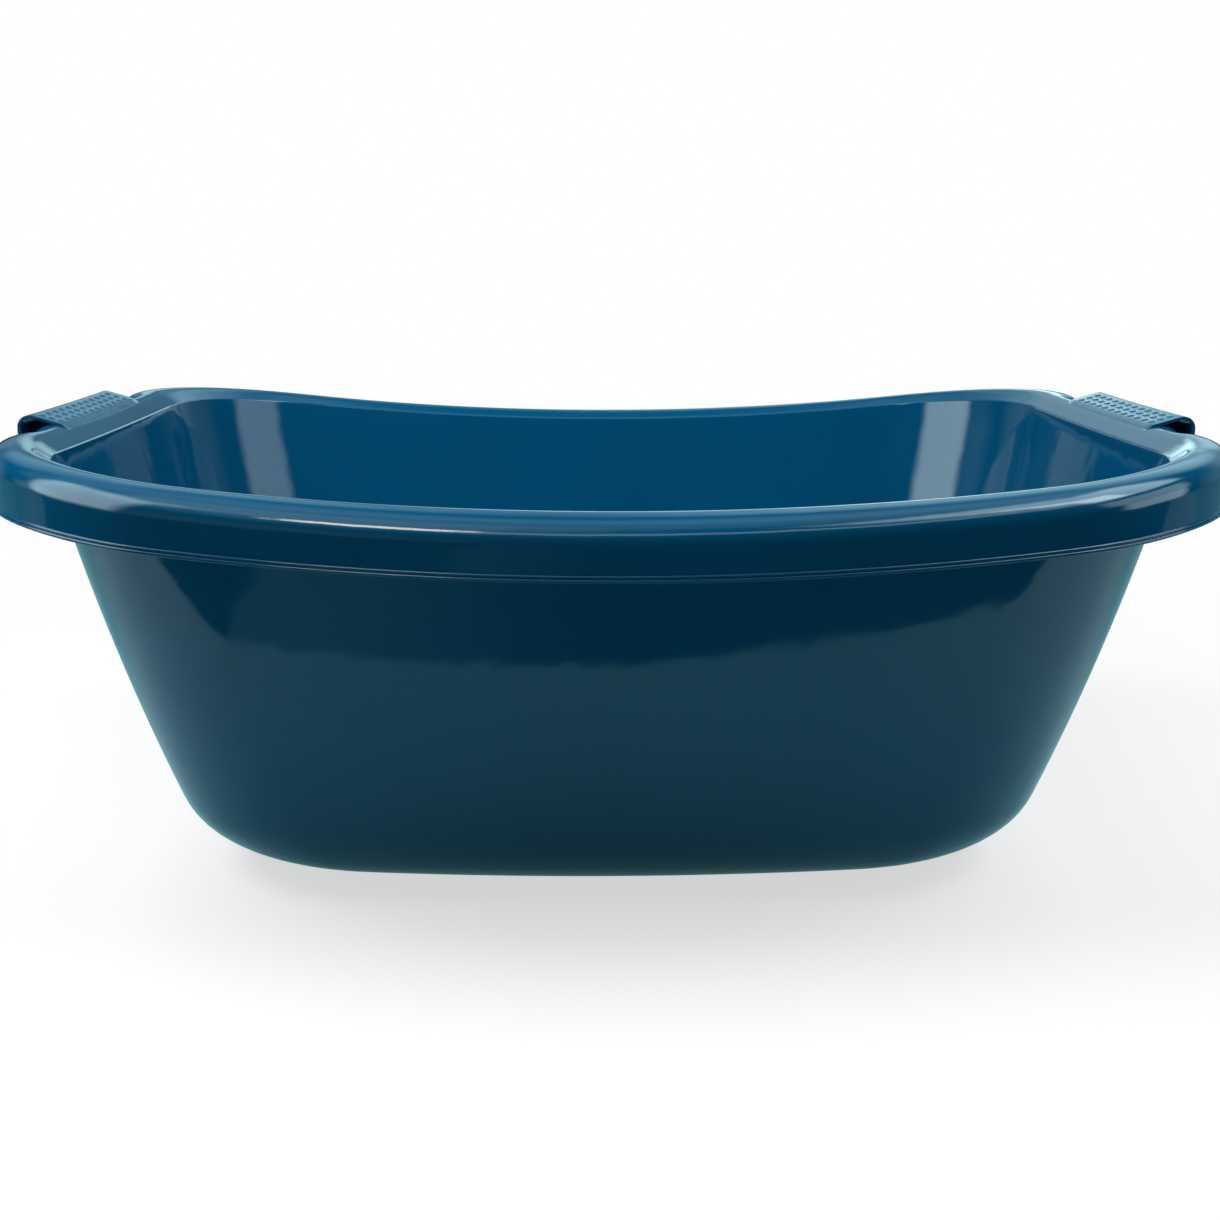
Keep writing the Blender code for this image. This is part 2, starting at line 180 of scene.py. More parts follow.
# The studio that the gloss mirrors: turn, rise and reach of each patch in degrees, and its level
ROOM = [
    (0, 36, 22, 0.35),
    (-26, 36, 22, 0.75),
    (26, 36, 22, 1.30),
    (-14, 20, 20, 0.20),
    (14, 20, 20, 0.20),
    (34, 20, 22, 0.40),
    (-45, 4, 22, 0.38),
    (-24, 9, 8, 0.2),
    (-12, 9, 8, 0.9),
    (0, 9, 8, 1.5),
    (12, 9, 8, 1.9),
    (24, 9, 8, 0.8),
    (56, 4, 30, 0.30),
    (-90, 4, 22, 0.60),
    (-76, 45, 22, 0.40),
    (-45, 66, 22, 0.64),
    (45, 66, 22, 0.59),
    (60, 84, 26, 0.60),
    (-135, 66, 22, 1.56),
    (-165, 51, 20, 0.50),
    (-157, 4, 22, 0.25),
]
ROOM_COLOUR = (0.62, 0.95, 1.0)
AMBIENT = 0.04
COOL = (0.76, 0.98, 1.0)
WARM = (1.0, 0.96, 0.80)
WHITE = (1.0, 1.0, 1.0)
# Soft boxes: name, what they light, colour, turn, rise, distance, width, height, level
LIGHTS = [
    ("right_high_box", "gloss", COOL, 112, 55, 1.40, 1.45, 0.80, 4.7),
    ("right_core_box", "gloss", COOL, 129, 50, 1.40, 0.55, 0.42, 6.5),
    ("right_middle_box", "gloss", COOL, 117, 26, 1.40, 1.27, 0.55, 2.3),
    ("right_low_box", "gloss", COOL, 115, 8, 1.40, 0.94, 0.55, 3.2),
    ("left_box", "gloss", COOL, -117, 28, 1.10, 1.06, 1.35, 5.0),
    ("back_right_box", "gloss", COOL, 16, 19, 1.21, 0.60, 0.50, 0.5),
    ("front_box", "gloss", WARM, -164, 46, 1.60, 0.31, 0.28, 14.0),
    ("front_strip", "gloss", COOL, 170, 46, 1.60, 1.20, 0.24, 2.2),
    ("left_fill", "matt", WHITE, -100, 47, 1.00, 0.60, 0.60, 7.8),
    ("left_low_fill", "matt", WHITE, -88, 12, 1.00, 0.60, 0.40, 1.8),
    ("right_fill", "matt", WHITE, 100, 45, 1.00, 0.60, 0.60, 5.2),
    ("right_low_fill", "matt", WHITE, 88, 12, 1.00, 0.60, 0.40, 1.5),
    ("top_fill", "matt", WHITE, 180, 78, 1.00, 0.60, 0.60, 1.6),
]
LIGHTS_AIM = (0, 0, 0.15)
# A soft box's middle and the width of its fading edge, as shares of its sides
BOX_MIDDLE = 0.5
BOX_SOFTNESS = 0.20

# The floor to the camera: a pale tone that turns white between two distances from the basin
FLOOR_HALF = 6.0
FLOOR_TONE = 0.40
FLOOR_ROUGHNESS = 0.9
FLOOR_GLOW = 0.64
FLOOR_FADE = (0.35, 0.75)
# The floor to light that bounces off it
BOUNCE_TONE = 0.50
# The table as the gloss mirrors it, with painted light that makes it paler towards its sides, and
# the dim room past its front edge
TABLE_COLOUR = (0.22, 0.54, 0.57)
TABLE_SIDE_LIGHT_COLOUR = (0.50, 0.80, 0.86)
TABLE_SIDE_LIGHT_RANGE = (0.12, 0.38)
TABLE_SIDE_LIGHT_FRONT = (-0.15, 0.05)
TABLE_EDGES = [((0, 1, 0), 0.281), ((0.139, 0.990, 0), 0.278)]
TABLE_EDGE_BLUR = 0.004
TABLE_EVENNESS = 0.4
PAST_COLOUR = (0.003, 0.005, 0.005)
PAST_DIM_COLOUR = (0.10, 0.24, 0.25)
PAST_DIM = (0, 0.20)
PAST_DIM_END = (-0.228, -0.220)

# The photograph's view, found by fitting the rim, the wall and the foot to it
CAMERA_PLACE = (-0.016675, -0.768077, 0.286230)
CAMERA_PITCH, CAMERA_YAW, CAMERA_ROLL = 0.231982, -0.023128, 0.003705
CAMERA_SENSOR = 36
CAMERA_LENS = 1560 / 1220 * CAMERA_SENSOR
CAMERA_CLIP = 0.01


# Shapes

def blend(share):
    share = np.clip(share, 0, 1)
    return share * share * (3 - 2 * share)


def layout(end_shares, corner_steps, side_steps):
    """Parts, shares and signs of a ring's points, anticlockwise from the middle of the right end"""
    quarter = [(END_PART, share) for share in end_shares]
    quarter += [(CORNER_PART, step / corner_steps) for step in range(corner_steps)]
    quarter += [(SIDE_PART, 1 - step / side_steps) for step in range(side_steps)]
    middle = [(SIDE_PART, 0)]
    points = [(part, share, 1, 1) for part, share in quarter + middle]
    points += [(part, share, -1, 1) for part, share in quarter[::-1]]
    points += [(part, share, -1, -1) for part, share in quarter[1:] + middle]
    points += [(part, share, 1, -1) for part, share in quarter[:0:-1]]
    return np.array(points, float).T


def outline_arcs(half_length, half_width, corner, side_bow):
    """The corner's centre, and the radius and half turn of the side's and the end's bow"""
    corner_x = half_length - corner - END_BOW
    corner_y = half_width - corner - side_bow
    side_radius = (corner_x**2 + side_bow**2) / (2 * side_bow)
    end_radius = (corner_y**2 + END_BOW**2) / (2 * END_BOW)
    side_turn = np.arcsin(corner_x / side_radius)
    end_turn = np.arcsin(corner_y / end_radius)
    return corner_x, corner_y, side_radius, side_turn, end_radius, end_turn


def outline(ring, half_length, half_width, corner, side_bow):
    """x and y of a rounded rectangle with bowed sides"""
    part, share, sign_x, sign_y = ring
    corner_x, corner_y, side_radius, side_turn, end_radius, end_turn = outline_arcs(
        half_length, half_width, corner, side_bow
    )
    end_angle = end_turn * share
    corner_angle = end_turn + (math.pi / 2 - side_turn - end_turn) * share
    side_angle = side_turn * share
    choices = [part == END_PART, part == CORNER_PART, part == SIDE_PART]
    x = np.select(choices, [
        half_length - (end_radius + corner) * (1 - np.cos(end_angle)),
        corner_x + corner * np.cos(corner_angle),
        (side_radius + corner) * np.sin(side_angle),
    ])
    y = np.select(choices, [
        (end_radius + corner) * np.sin(end_angle),
        corner_y + corner * np.sin(corner_angle),
        half_width - (side_radius + corner) * (1 - np.cos(side_angle)),
    ])
    return sign_x * x, sign_y * y


def outside(x, y, half_length, half_width, corner, side_bow):
    """How far each point lies outside such an outline"""
    x, y = np.abs(x), np.abs(y)
    corner_x, corner_y, side_radius, side_turn, end_radius, end_turn = outline_arcs(
        half_length, half_width, corner, side_bow
    )
    angle = np.arctan2(y - corner_y, x - corner_x)
    end_centre = half_length - corner - end_radius
    side_centre = half_width - corner - side_radius
    past_end = np.hypot(x - end_centre, y) - end_radius - corner
    past_side = np.hypot(x, y - side_centre) - side_radius - corner
    past_corner = np.hypot(x - corner_x, y - corner_y) - corner
    at_end, at_side = angle < end_turn, angle > math.pi / 2 - side_turn
    return np.select([at_end, at_side], [past_end, past_side], past_corner)


def mouth_height(x, y):
    along = np.minimum(np.abs(x) / RIM_HALF_LENGTH, 1)
    across = np.minimum(np.abs(y) / MOUTH_HALF_WIDTH, 1)
    at_end = np.minimum(np.abs(x) / MOUTH_HALF_LENGTH, 1) ** END_DIP_POWER
    return END_HEIGHT - SIDE_DIP * (1 - along**2) - END_DIP * (1 - across**2) * at_end


def crown_rise(x):
    along = np.minimum(np.abs(x) / RIM_HALF_LENGTH, 1)
    return SIDE_CROWN + (END_CROWN - SIDE_CROWN) * along**CROWN_GROWTH_POWER


def band_share(out):
    """Share of the crown's rise on the band, which runs up straight from the lip and rounds over"""
    share = out / CROWN_OUT
    bend = 1 / (1 - BAND_STRAIGHT**2)
    if share < BAND_STRAIGHT:
        return 2 * (1 - BAND_STRAIGHT) * bend * share
    return 1 - bend * (1 - share) ** 2


def rim_outline(ring, out):
    share = out / RIM_WIDTH
    return outline(
        ring,
        MOUTH_HALF_LENGTH + (RIM_HALF_LENGTH - MOUTH_HALF_LENGTH) * share,
        MOUTH_HALF_WIDTH + out,
        MOUTH_CORNER + (RIM_CORNER - MOUTH_CORNER) * share,
        MOUTH_SIDE_BOW + (RIM_SIDE_BOW - MOUTH_SIDE_BOW) * share,
    )


def setback(ring, out):
    """How far the notches move the rim in at each point. The crown runs on smoothly inside them."""
    _, y = rim_outline(ring, 0)
    start = blend((np.abs(y) - NOTCH_START) / NOTCH_BLEND)
    end = blend((NOTCH_END - np.abs(y)) / NOTCH_BLEND)
    share = max(out - CROWN_OUT, 0) / (RIM_WIDTH - CROWN_OUT)
    return NOTCH_SETBACK * start * end * share


def rim_ring(ring, out, crown, height):
    x, y = rim_outline(ring, out - setback(ring, out))
    return np.stack([x, y, mouth_height(x, y) + crown_rise(x) * crown + height], axis=1)


def skin_profile():
    """Lip, band and shoulder of the rim, as out, share of the crown's rise, and height"""
    lean = math.atan(TOP_TAPER)
    low = np.array([-LIP_BLEND * math.sin(lean), 0, -LIP_BLEND * math.cos(lean)])
    bend = np.array([0, 0, 0])
    high = np.array([LIP_BLEND, band_share(LIP_BLEND), 0])
    profile = []
    for share in np.linspace(0, 1, LIP_POINTS):
        rest = 1 - share
        profile.append(rest**2 * low + 2 * share * rest * bend + share**2 * high)
    for out in np.linspace(LIP_BLEND, CROWN_OUT, BAND_POINTS)[1:]:
        profile.append((out, band_share(out), 0))
    for angle in np.linspace(0, math.pi / 2, SHOULDER_POINTS)[1:]:
        out = CROWN_OUT + SHOULDER_OUT * math.sin(angle)
        profile.append((out, 1, -SHOULDER_DROP * (1 - math.cos(angle))))
    return profile


def bead_profile():
    """Two small ridges along the rim's lower edge, the lower one standing out further"""
    profile = []
    for out, reach, middle, half, first, last in BEAD_RIDGES:
        for angle in np.linspace(math.radians(first), math.radians(last), RIDGE_POINTS):
            height = middle + half * math.sin(angle) - RIM_DEPTH
            profile.append((RIM_WIDTH - BEAD_OUT + out + reach * math.cos(angle), 0, height))
    return profile


def between(first, second):
    """Rings spaced evenly between two rings, both left out"""
    return [first + (second - first) * step / JOIN_STEPS for step in range(1, JOIN_STEPS)]


def under_face(rings):
    """The rim's underside, its wall's thickness square to the upper face"""
    path = np.gradient(rings, axis=0)
    outward = rings[-1, :, :2] - rings[0, :, :2]
    outward /= np.linalg.norm(outward, axis=1, keepdims=True)
    run = (path[:, :, :2] * outward).sum(axis=2)
    rise = path[:, :, 2]
    length = np.hypot(run, rise)
    moved = rings.copy()
    moved[:, :, :2] += WALL * (rise / length)[:, :, None] * outward
    moved[:, :, 2] -= WALL * run / length
    return moved


def wall_inset(share):
    return WALL_HEIGHT * (TOP_TAPER * share + (BASE_TAPER - TOP_TAPER) * share**2 / 2)


def wall_ring(ring, share, depth):
    """The tub's wall at a share of the way down it, at a depth from its outer face"""
    lean = math.atan(TOP_TAPER + (BASE_TAPER - TOP_TAPER) * share)
    inset = wall_inset(share)
    behind = WALL - depth * math.cos(lean)
    x, y = outline(
        ring,
        MOUTH_HALF_LENGTH - inset + behind,
        MOUTH_HALF_WIDTH - inset * WIDTH_TAPER + behind,
        MOUTH_CORNER + (BASE_CORNER - MOUTH_CORNER) * share + behind,
        MOUTH_SIDE_BOW + (BASE_SIDE_BOW - MOUTH_SIDE_BOW) * share,
    )
    top = mouth_height(*rim_outline(ring, WALL))
    height = top * (1 - share) + WALL_FOOT * share + depth * math.sin(lean)
    return np.stack([x, y, height], axis=1)


def base_sizes(reach):
    """The rounded base's outline at a reach from the middle of its rounding"""
    inset = wall_inset(1) + BASE_ROUND * math.cos(BASE_LEAN)
    return (
        MOUTH_HALF_LENGTH + WALL - inset + reach,
        MOUTH_HALF_WIDTH + WALL - (inset - reach) * WIDTH_TAPER,
        BASE_CORNER + WALL,
        BASE_SIDE_BOW,
    )


def base_ring(ring, angle, depth):
    """The rounded base at an angle down its rounding, at a depth from its outer face"""
    radius = BASE_ROUND - depth
    half_length, half_width, corner, bow = base_sizes(radius * math.cos(angle))
    x, y = outline(ring, half_length, half_width, corner - depth * math.cos(angle), bow)
    height = BASE_LIFT + BASE_ROUND - radius * math.sin(angle)
    return np.stack([x, y, np.full_like(x, height)], axis=1)


def base_height(x, y):
    """Height of the base's underside over each point"""
    low, high = np.zeros_like(x), np.full_like(x, BASE_ROUND)
    for _ in range(SEARCH_STEPS):
        reach = (low + high) / 2
        beyond = outside(x, y, *base_sizes(reach)) > 0
        low = np.where(beyond, reach, low)
        high = np.where(beyond, high, reach)
    flat = outside(x, y, *base_sizes(np.zeros_like(x))) <= 0
    reach = np.where(flat, 0, low)
    return BASE_LIFT + BASE_ROUND - np.sqrt(BASE_ROUND**2 - reach**2)


def floor_rings(edge):
    """Rings from the flat floor's edge in towards its middle"""
    middle = edge.mean(axis=0)
    shares = [1 - step / FLOOR_STEPS for step in range(1, FLOOR_STEPS)]
    return [middle + (edge - middle) * share for share in shares]


# Meshes

def piece(name, mesh):
    mesh.shade_smooth()
    mesh.set_sharp_from_angle(angle=SHARP_EDGE)
    made = bpy.data.objects.new(name, mesh)
    bpy.context.scene.collection.objects.link(made)
    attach(made, "root")
    return made


def loft(name, rings, closed=False, capped=False):
    """A mesh of rings, closed into a loop of rings or capped by a point at each end"""
    rings = [np.asarray(ring) for ring in rings]
    count = len(rings[0])
    points = np.concatenate(rings)
    rows = np.arange(len(points)).reshape(len(rings), count)
    lower = rows if closed else rows[:-1]
    upper = np.roll(rows, -1, axis=0) if closed else rows[1:]
    corners = [lower, np.roll(lower, -1, axis=1), np.roll(upper, -1, axis=1), upper]
    faces = np.stack(corners, axis=-1).reshape(-1, 4).tolist()
    if capped:
        points = np.concatenate([points, [rings[0].mean(axis=0)], [rings[-1].mean(axis=0)]])
        first, last = len(points) - 2, len(points) - 1
        for index in range(count):
            after = (index + 1) % count
            faces.append([first, int(rows[0][after]), int(rows[0][index])])
            faces.append([last, int(rows[-1][index]), int(rows[-1][after])])
    mesh = bpy.data.meshes.new(name)
    mesh.from_pydata(points.tolist(), [], faces)
    shape = bmesh.new()
    shape.from_mesh(mesh)
    bmesh.ops.recalc_face_normals(shape, faces=shape.faces)
    shape.to_mesh(mesh)
    shape.free()
    return mesh


def shell():
    """Floor, wall and rolled rim as one skin, inside and out"""
    corner_y = MOUTH_HALF_WIDTH - MOUTH_CORNER - MOUTH_SIDE_BOW
    ring = layout([place / corner_y for place in END_PLACES], CORNER_STEPS, SIDE_STEPS)

    def tub_face(depth):
        rings = [wall_ring(ring, share, depth) for share in np.linspace(WALL_START, 1, WALL_RINGS)]
        for turn in np.linspace(BASE_LEAN, math.pi / 2, BASE_RINGS)[1:]:
            rings.append(base_ring(ring, turn, depth))
        return rings + floor_rings(rings[-1])

    skin = [rim_ring(ring, *point) for point in skin_profile()]
    bead = [rim_ring(ring, *point) for point in bead_profile()]
    under = under_face(np.array(skin + [bead[-1]]))
    rings = tub_face(WALL)[::-1] + skin + between(skin[-1], bead[0]) + bead
    rings += [under[-1]] + between(under[-1], under[-2]) + list(under[-2::-1]) + tub_face(0)
    made = piece("basin_shell", loft("basin_shell", rings, capped=True))
    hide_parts("tub", "rim")
    return made


def foot():
    """The low ring under the base, its top run into the base"""
    end_shares = list(np.linspace(0, 1, FOOT_END_STEPS, endpoint=False))
    ring = layout(end_shares, FOOT_CORNER_STEPS, FOOT_SIDE_STEPS)

    def plan(inset):
        sizes = (FOOT_HALF_LENGTH - inset, FOOT_HALF_WIDTH - inset, FOOT_CORNER - inset)
        return outline(ring, *sizes, BASE_SIDE_BOW)

    def level(inset, height):
        x, y = plan(inset)
        return np.stack([x, y, np.full_like(x, height)], axis=1)

    def root(inset):
        x, y = plan(inset)
        return np.stack([x, y, base_height(x, y) + FOOT_SINK], axis=1)

    def edge(angle):
        """In from the foot's side and down from its edge's height, at an angle round its edge"""
        return FOOT_EDGE * (1 - math.cos(angle)), FOOT_EDGE * (1 - math.sin(angle))

    rings = [root(-FOOT_FLARE), level(0, FOOT_EDGE)]
    for angle in np.linspace(0, math.pi / 2, FOOT_EDGE_POINTS)[1:]:
        inward, height = edge(angle)
        rings.append(level(inward, height))
    for angle in np.linspace(math.pi / 2, 0, FOOT_EDGE_POINTS):
        inward, height = edge(angle)
        rings.append(level(FOOT_WIDTH - inward, height))
    rings.append(root(FOOT_WIDTH + FOOT_FLARE))
    made = piece("basin_foot", loft("basin_foot", rings, closed=True))
    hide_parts("foot_ring")
    return made


def roll_height(x, y):
    """Height of the rim's upper face outside the mouth, at an end"""
    out = (x - MOUTH_HALF_LENGTH) * RIM_WIDTH / (RIM_HALF_LENGTH - MOUTH_HALF_LENGTH)
    beyond = min(max(out - CROWN_OUT, 0) / SHOULDER_OUT, 1)
    drop = SHOULDER_DROP * (1 - math.sqrt(1 - beyond**2))
    rise = crown_rise(x) * band_share(min(out, CROWN_OUT))
    return float(mouth_height(x, y) + rise - drop)


def pip_rise(along, across):
    """Height of the rounded pips at a place on the grip's top"""
    column = along / PIP_STEP_ALONG + (PIP_COLUMNS - 1) / 2
    row = across / PIP_STEP_ACROSS + (PIP_ROWS - 1) / 2
    column_off = column - min(max(round(column), 0), PIP_COLUMNS - 1)
    row_off = row - min(max(round(row), 0), PIP_ROWS - 1)
    u = abs(column_off) * PIP_STEP_ALONG / (PIP_LENGTH / 2)
    v = abs(row_off) * PIP_STEP_ACROSS / (PIP_WIDTH / 2)
    far = (u**PIP_OUTLINE_POWER + v**PIP_OUTLINE_POWER) ** (1 / PIP_OUTLINE_POWER)
    return PIP_RISE * math.sqrt(max(0, 1 - far**PIP_DOME_POWER)) if far < 1 else 0


def grip_stations(flat):
    """Places across the grip's top, close together on the pips"""
    places = {GRIP_PLATE_START, flat}
    for row in range(PIP_ROWS):
        middle = flat / 2 + (row - (PIP_ROWS - 1) / 2) * PIP_STEP_ACROSS
        places.update(middle + PIP_WIDTH / 2 * share for share in PIP_SHARES)
    return sorted(places)


def grip_section(y, flat):
    """The grip's section at a place along it, from its root over the top and back underneath"""
    cos, sin = math.cos(GRIP_TILT), math.sin(GRIP_TILT)
    start = roll_height(GRIP_ROOT_OUT, y) + GRIP_STEP
    points = []
    for share in np.linspace(0, 1, RAMP_POINTS)[:-1]:
        x = GRIP_ROOT_OUT - GRIP_RAMP * (1 - share) + GRIP_RAMP_PAST * share
        plane = start + (x - GRIP_ROOT_OUT) * sin / cos
        foot_height = roll_height(x, y) - GRIP_RAMP_SINK
        points.append((x, foot_height + (plane - foot_height) * blend(share)))
    for far in grip_stations(flat):
        rise = pip_rise(y, far - flat / 2)
        points.append((GRIP_ROOT_OUT + far * cos - rise * sin, start + far * sin + rise * cos))
    end_x, end_z = GRIP_ROOT_OUT + flat * cos, start + flat * sin
    centre_x, centre_z = end_x + GRIP_CURL * sin, end_z - GRIP_CURL * cos

    def arc(x, z, radius, first, last, count):
        angles = np.linspace(first, last, count)
        return [(x + radius * math.cos(angle), z + radius * math.sin(angle)) for angle in angles]

    top_angle = math.pi / 2 + GRIP_TILT
    points += arc(centre_x, centre_z, GRIP_CURL, top_angle, 0, CURL_POINTS)[1:]
    edge = GRIP_WALL / 2
    low = centre_z + GRIP_CURL - GRIP_DROP + edge
    points += [(GRIP_REACH, centre_z + (low - centre_z) * share) for share in PLATE_SHARES]
    points += arc(GRIP_REACH - edge, low, edge, 0, -math.pi, EDGE_POINTS)
    points += arc(centre_x, centre_z, GRIP_CURL - GRIP_WALL, 0, top_angle, INNER_POINTS)
    for share in np.linspace(0, 1, UNDER_POINTS)[1:]:
        x = end_x + (GRIP_ROOT_OUT - GRIP_UNDER_START - end_x) * share
        plate = start + (x - GRIP_ROOT_OUT) * sin / cos - GRIP_WALL / cos
        points.append((x, max(plate, roll_height(x, y) - GRIP_UNDER_SINK)))
    return points


def grip(name, side, node):
    """A curled plate with its dotted top, its cut ends softened"""
    curl_out = GRIP_CURL * (1 + math.sin(GRIP_TILT))
    flat = (GRIP_REACH - curl_out - GRIP_ROOT_OUT) / math.cos(GRIP_TILT)
    stations = {-GRIP_HALF_LENGTH, GRIP_HALF_LENGTH}
    for column in range(PIP_COLUMNS):
        middle = (column - (PIP_COLUMNS - 1) / 2) * PIP_STEP_ALONG
        stations.update(middle + PIP_LENGTH / 2 * share for share in PIP_SHARES)
    shape = bmesh.new()
    rows = []
    for y in sorted(stations):
        rows.append([shape.verts.new((side * x, y, z)) for x, z in grip_section(y, flat)])
    for first, second in zip(rows, rows[1:]):
        for index, corner in enumerate(first):
            after = (index + 1) % len(first)
            shape.faces.new([corner, first[after], second[after], second[index]])
    caps = [shape.faces.new(rows[0]), shape.faces.new(rows[-1])]
    bmesh.ops.recalc_face_normals(shape, faces=shape.faces)
    edges = list({edge for cap in caps for edge in cap.edges})
    bmesh.ops.bevel(
        shape,
        geom=edges,
        offset=GRIP_BEVEL,
        segments=BEVEL_SEGMENTS,
        profile=BEVEL_ROUNDNESS,
        affect="EDGES",
        clamp_overlap=True,
    )
    mesh = bpy.data.meshes.new(name)
    shape.to_mesh(mesh)
    shape.free()
    made = piece(name, mesh)
    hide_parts(node)
    return made


# Nodes

def add(tree, kind, **inputs):
    """A new node with some of its inputs set, a space in an input's name written as _"""
    node = tree.nodes.new(kind)
    for name, value in inputs.items():
        node.inputs[name.replace("_", " ")].default_value = value
    return node


def spread(tree, value, source, target=(0, 1), smooth=True):
    """A value taken from one range to another"""
    node = tree.nodes.new("ShaderNodeMapRange")
    node.interpolation_type = "SMOOTHSTEP" if smooth else "LINEAR"
    ends = ("From Min", "From Max", "To Min", "To Max")
    for name, number in zip(ends, (*source, *target)):
        node.inputs[name].default_value = number
    tree.links.new(value, node.inputs["Value"])
    return node.outputs["Result"]


def combine(tree, operation, first, second):
    node = tree.nodes.new("ShaderNodeMath")
    node.operation = operation
    tree.links.new(first, node.inputs[0])
    tree.links.new(second, node.inputs[1])
    return node.outputs["Value"]


def vector_step(tree, operation, vector, other=None):
    """A vector node of an operation on a socket, and on a constant where it takes one"""
    node = tree.nodes.new("ShaderNodeVectorMath")
    node.operation = operation
    tree.links.new(vector, node.inputs[0])
    if other is not None:
        node.inputs[1].default_value = other
    return node


def mix_colours(tree, share, low, high):
    """A colour that goes from one to another, each a colour or a socket"""
    node = tree.nodes.new("ShaderNodeMix")
    node.data_type = "RGBA"
    tree.links.new(share, node.inputs["Factor"])
    for socket, colour in ((node.inputs["A"], low), (node.inputs["B"], high)):
        if isinstance(colour, tuple):
            socket.default_value = (*colour, 1)
        else:
            tree.links.new(colour, socket)
    return node.outputs["Result"]


def mix_shaders(tree, share, first, second):
    """A shader mixed from two nodes by a share, which is a number or a socket"""
    node = tree.nodes.new("ShaderNodeMixShader")
    if isinstance(share, float):
        node.inputs["Fac"].default_value = share
    else:
        tree.links.new(share, node.inputs["Fac"])
    tree.links.new(first.outputs[0], node.inputs[1])
    tree.links.new(second.outputs[0], node.inputs[2])
    return node


def new_material(name):
    material = bpy.data.materials.new(name)
    material.use_nodes = True
    return material, material.node_tree


# Materials

def plastic(name, roughness, wear):
    """Glossy moulded plastic with a faint drift in its colour, slow waves and a fine skin"""
    material, tree = new_material(name)
    shader = tree.nodes["Principled BSDF"]
    shader.inputs["IOR"].default_value = PLASTIC_IOR
    place = tree.nodes.new("ShaderNodeTexCoord")

    def noise(size, low=0, high=1):
        scale, detail = size
        texture = add(tree, "ShaderNodeTexNoise", Scale=scale, Detail=detail)
        tree.links.new(place.outputs["Object"], texture.inputs["Vector"])
        return spread(tree, texture.outputs["Fac"], NOISE_RANGE, (low, high), smooth=False)

    def bump(size, height):
        strength, depth = size
        node = add(tree, "ShaderNodeBump", Strength=strength, Distance=depth)
        tree.links.new(height, node.inputs["Height"])
        return node

    tint = mix_colours(tree, noise(TINT_NOISE), DARK_TINT, LIGHT_TINT)
    tree.links.new(tint, shader.inputs["Base Color"])
    gloss = noise(GLOSS_NOISE, roughness - wear, roughness + wear)
    tree.links.new(gloss, shader.inputs["Roughness"])
    skin = bump(SKIN_BUMP, noise(SKIN_NOISE))
    waves = bump(WAVE_BUMP, noise(WAVE_NOISE))
    tree.links.new(waves.outputs["Normal"], skin.inputs["Normal"])
    tree.links.new(skin.outputs["Normal"], shader.inputs["Normal"])
    return material


def dress(made, material):
    made.data.materials.clear()
    made.data.materials.append(material)


# Stage

def mirrored_table(tree, place):
    """The table as the gloss mirrors it: painted light makes it paler towards its sides, and it is
    dark past its front edge
    """

    def along(vector, low, high):
        """0 to 1 as a place moves along a vector from one distance to another"""
        way = vector_step(tree, "DOT_PRODUCT", place, vector)
        return spread(tree, way.outputs["Value"], (low, high))

    left, right, front = (-1, 0, 0), (1, 0, 0), (0, -1, 0)
    # Painted light: the table's colour turns paler towards its left and right, fading out towards
    # its back, as if more light fell there
    side_light = combine(tree, "ADD", along(left, *TABLE_SIDE_LIGHT_RANGE), along(right, *TABLE_SIDE_LIGHT_RANGE))
    side_light = combine(tree, "MULTIPLY", side_light, along(front, *TABLE_SIDE_LIGHT_FRONT))
    dim = combine(tree, "MULTIPLY", along(left, *PAST_DIM), along(right, *PAST_DIM_END))
    blur = TABLE_EDGE_BLUR
    on_table = combine(
        tree, "MAXIMUM", *[along(way, -edge - blur, -edge + blur) for way, edge in TABLE_EDGES]
    )
    past = mix_colours(tree, dim, PAST_COLOUR, PAST_DIM_COLOUR)
    top = mix_colours(tree, side_light, TABLE_COLOUR, TABLE_SIDE_LIGHT_COLOUR)
    colour = mix_colours(tree, on_table, past, top)
    lit = tree.nodes.new("ShaderNodeBsdfDiffuse")
    even = tree.nodes.new("ShaderNodeEmission")
    tree.links.new(colour, lit.inputs["Color"])
    tree.links.new(colour, even.inputs["Color"])
    return mix_shaders(tree, TABLE_EVENNESS, lit, even)


def floor_material():
    """Pale and shadowed to the camera, white away from the basin, and a table in reflections"""
    material, tree = new_material("floor_pale")
    seen = tree.nodes["Principled BSDF"]
    seen.inputs["Base Color"].default_value = (FLOOR_TONE, FLOOR_TONE, FLOOR_TONE, 1)
    seen.inputs["Roughness"].default_value = FLOOR_ROUGHNESS
    seen.inputs["Specular IOR Level"].default_value = 0.0
    seen.inputs["Emission Color"].default_value = (*WHITE, 1)
    seen.inputs["Emission Strength"].default_value = FLOOR_GLOW
    place = tree.nodes.new("ShaderNodeTexCoord").outputs["Object"]
    far = vector_step(tree, "LENGTH", place)
    fade = spread(tree, far.outputs["Value"], FLOOR_FADE)
    white = tree.nodes.new("ShaderNodeEmission")
    view = mix_shaders(tree, fade, seen, white)
    tone = (BOUNCE_TONE, BOUNCE_TONE, BOUNCE_TONE, 1)
    bounce = add(tree, "ShaderNodeBsdfDiffuse", Color=tone)
    path = tree.nodes.new("ShaderNodeLightPath")
    table = mirrored_table(tree, place)
    unseen = mix_shaders(tree, path.outputs["Is Glossy Ray"], bounce, table)
    pick = mix_shaders(tree, path.outputs["Is Camera Ray"], unseen, view)
    tree.links.new(pick.outputs["Shader"], tree.nodes["Material Output"].inputs["Surface"])
    return material


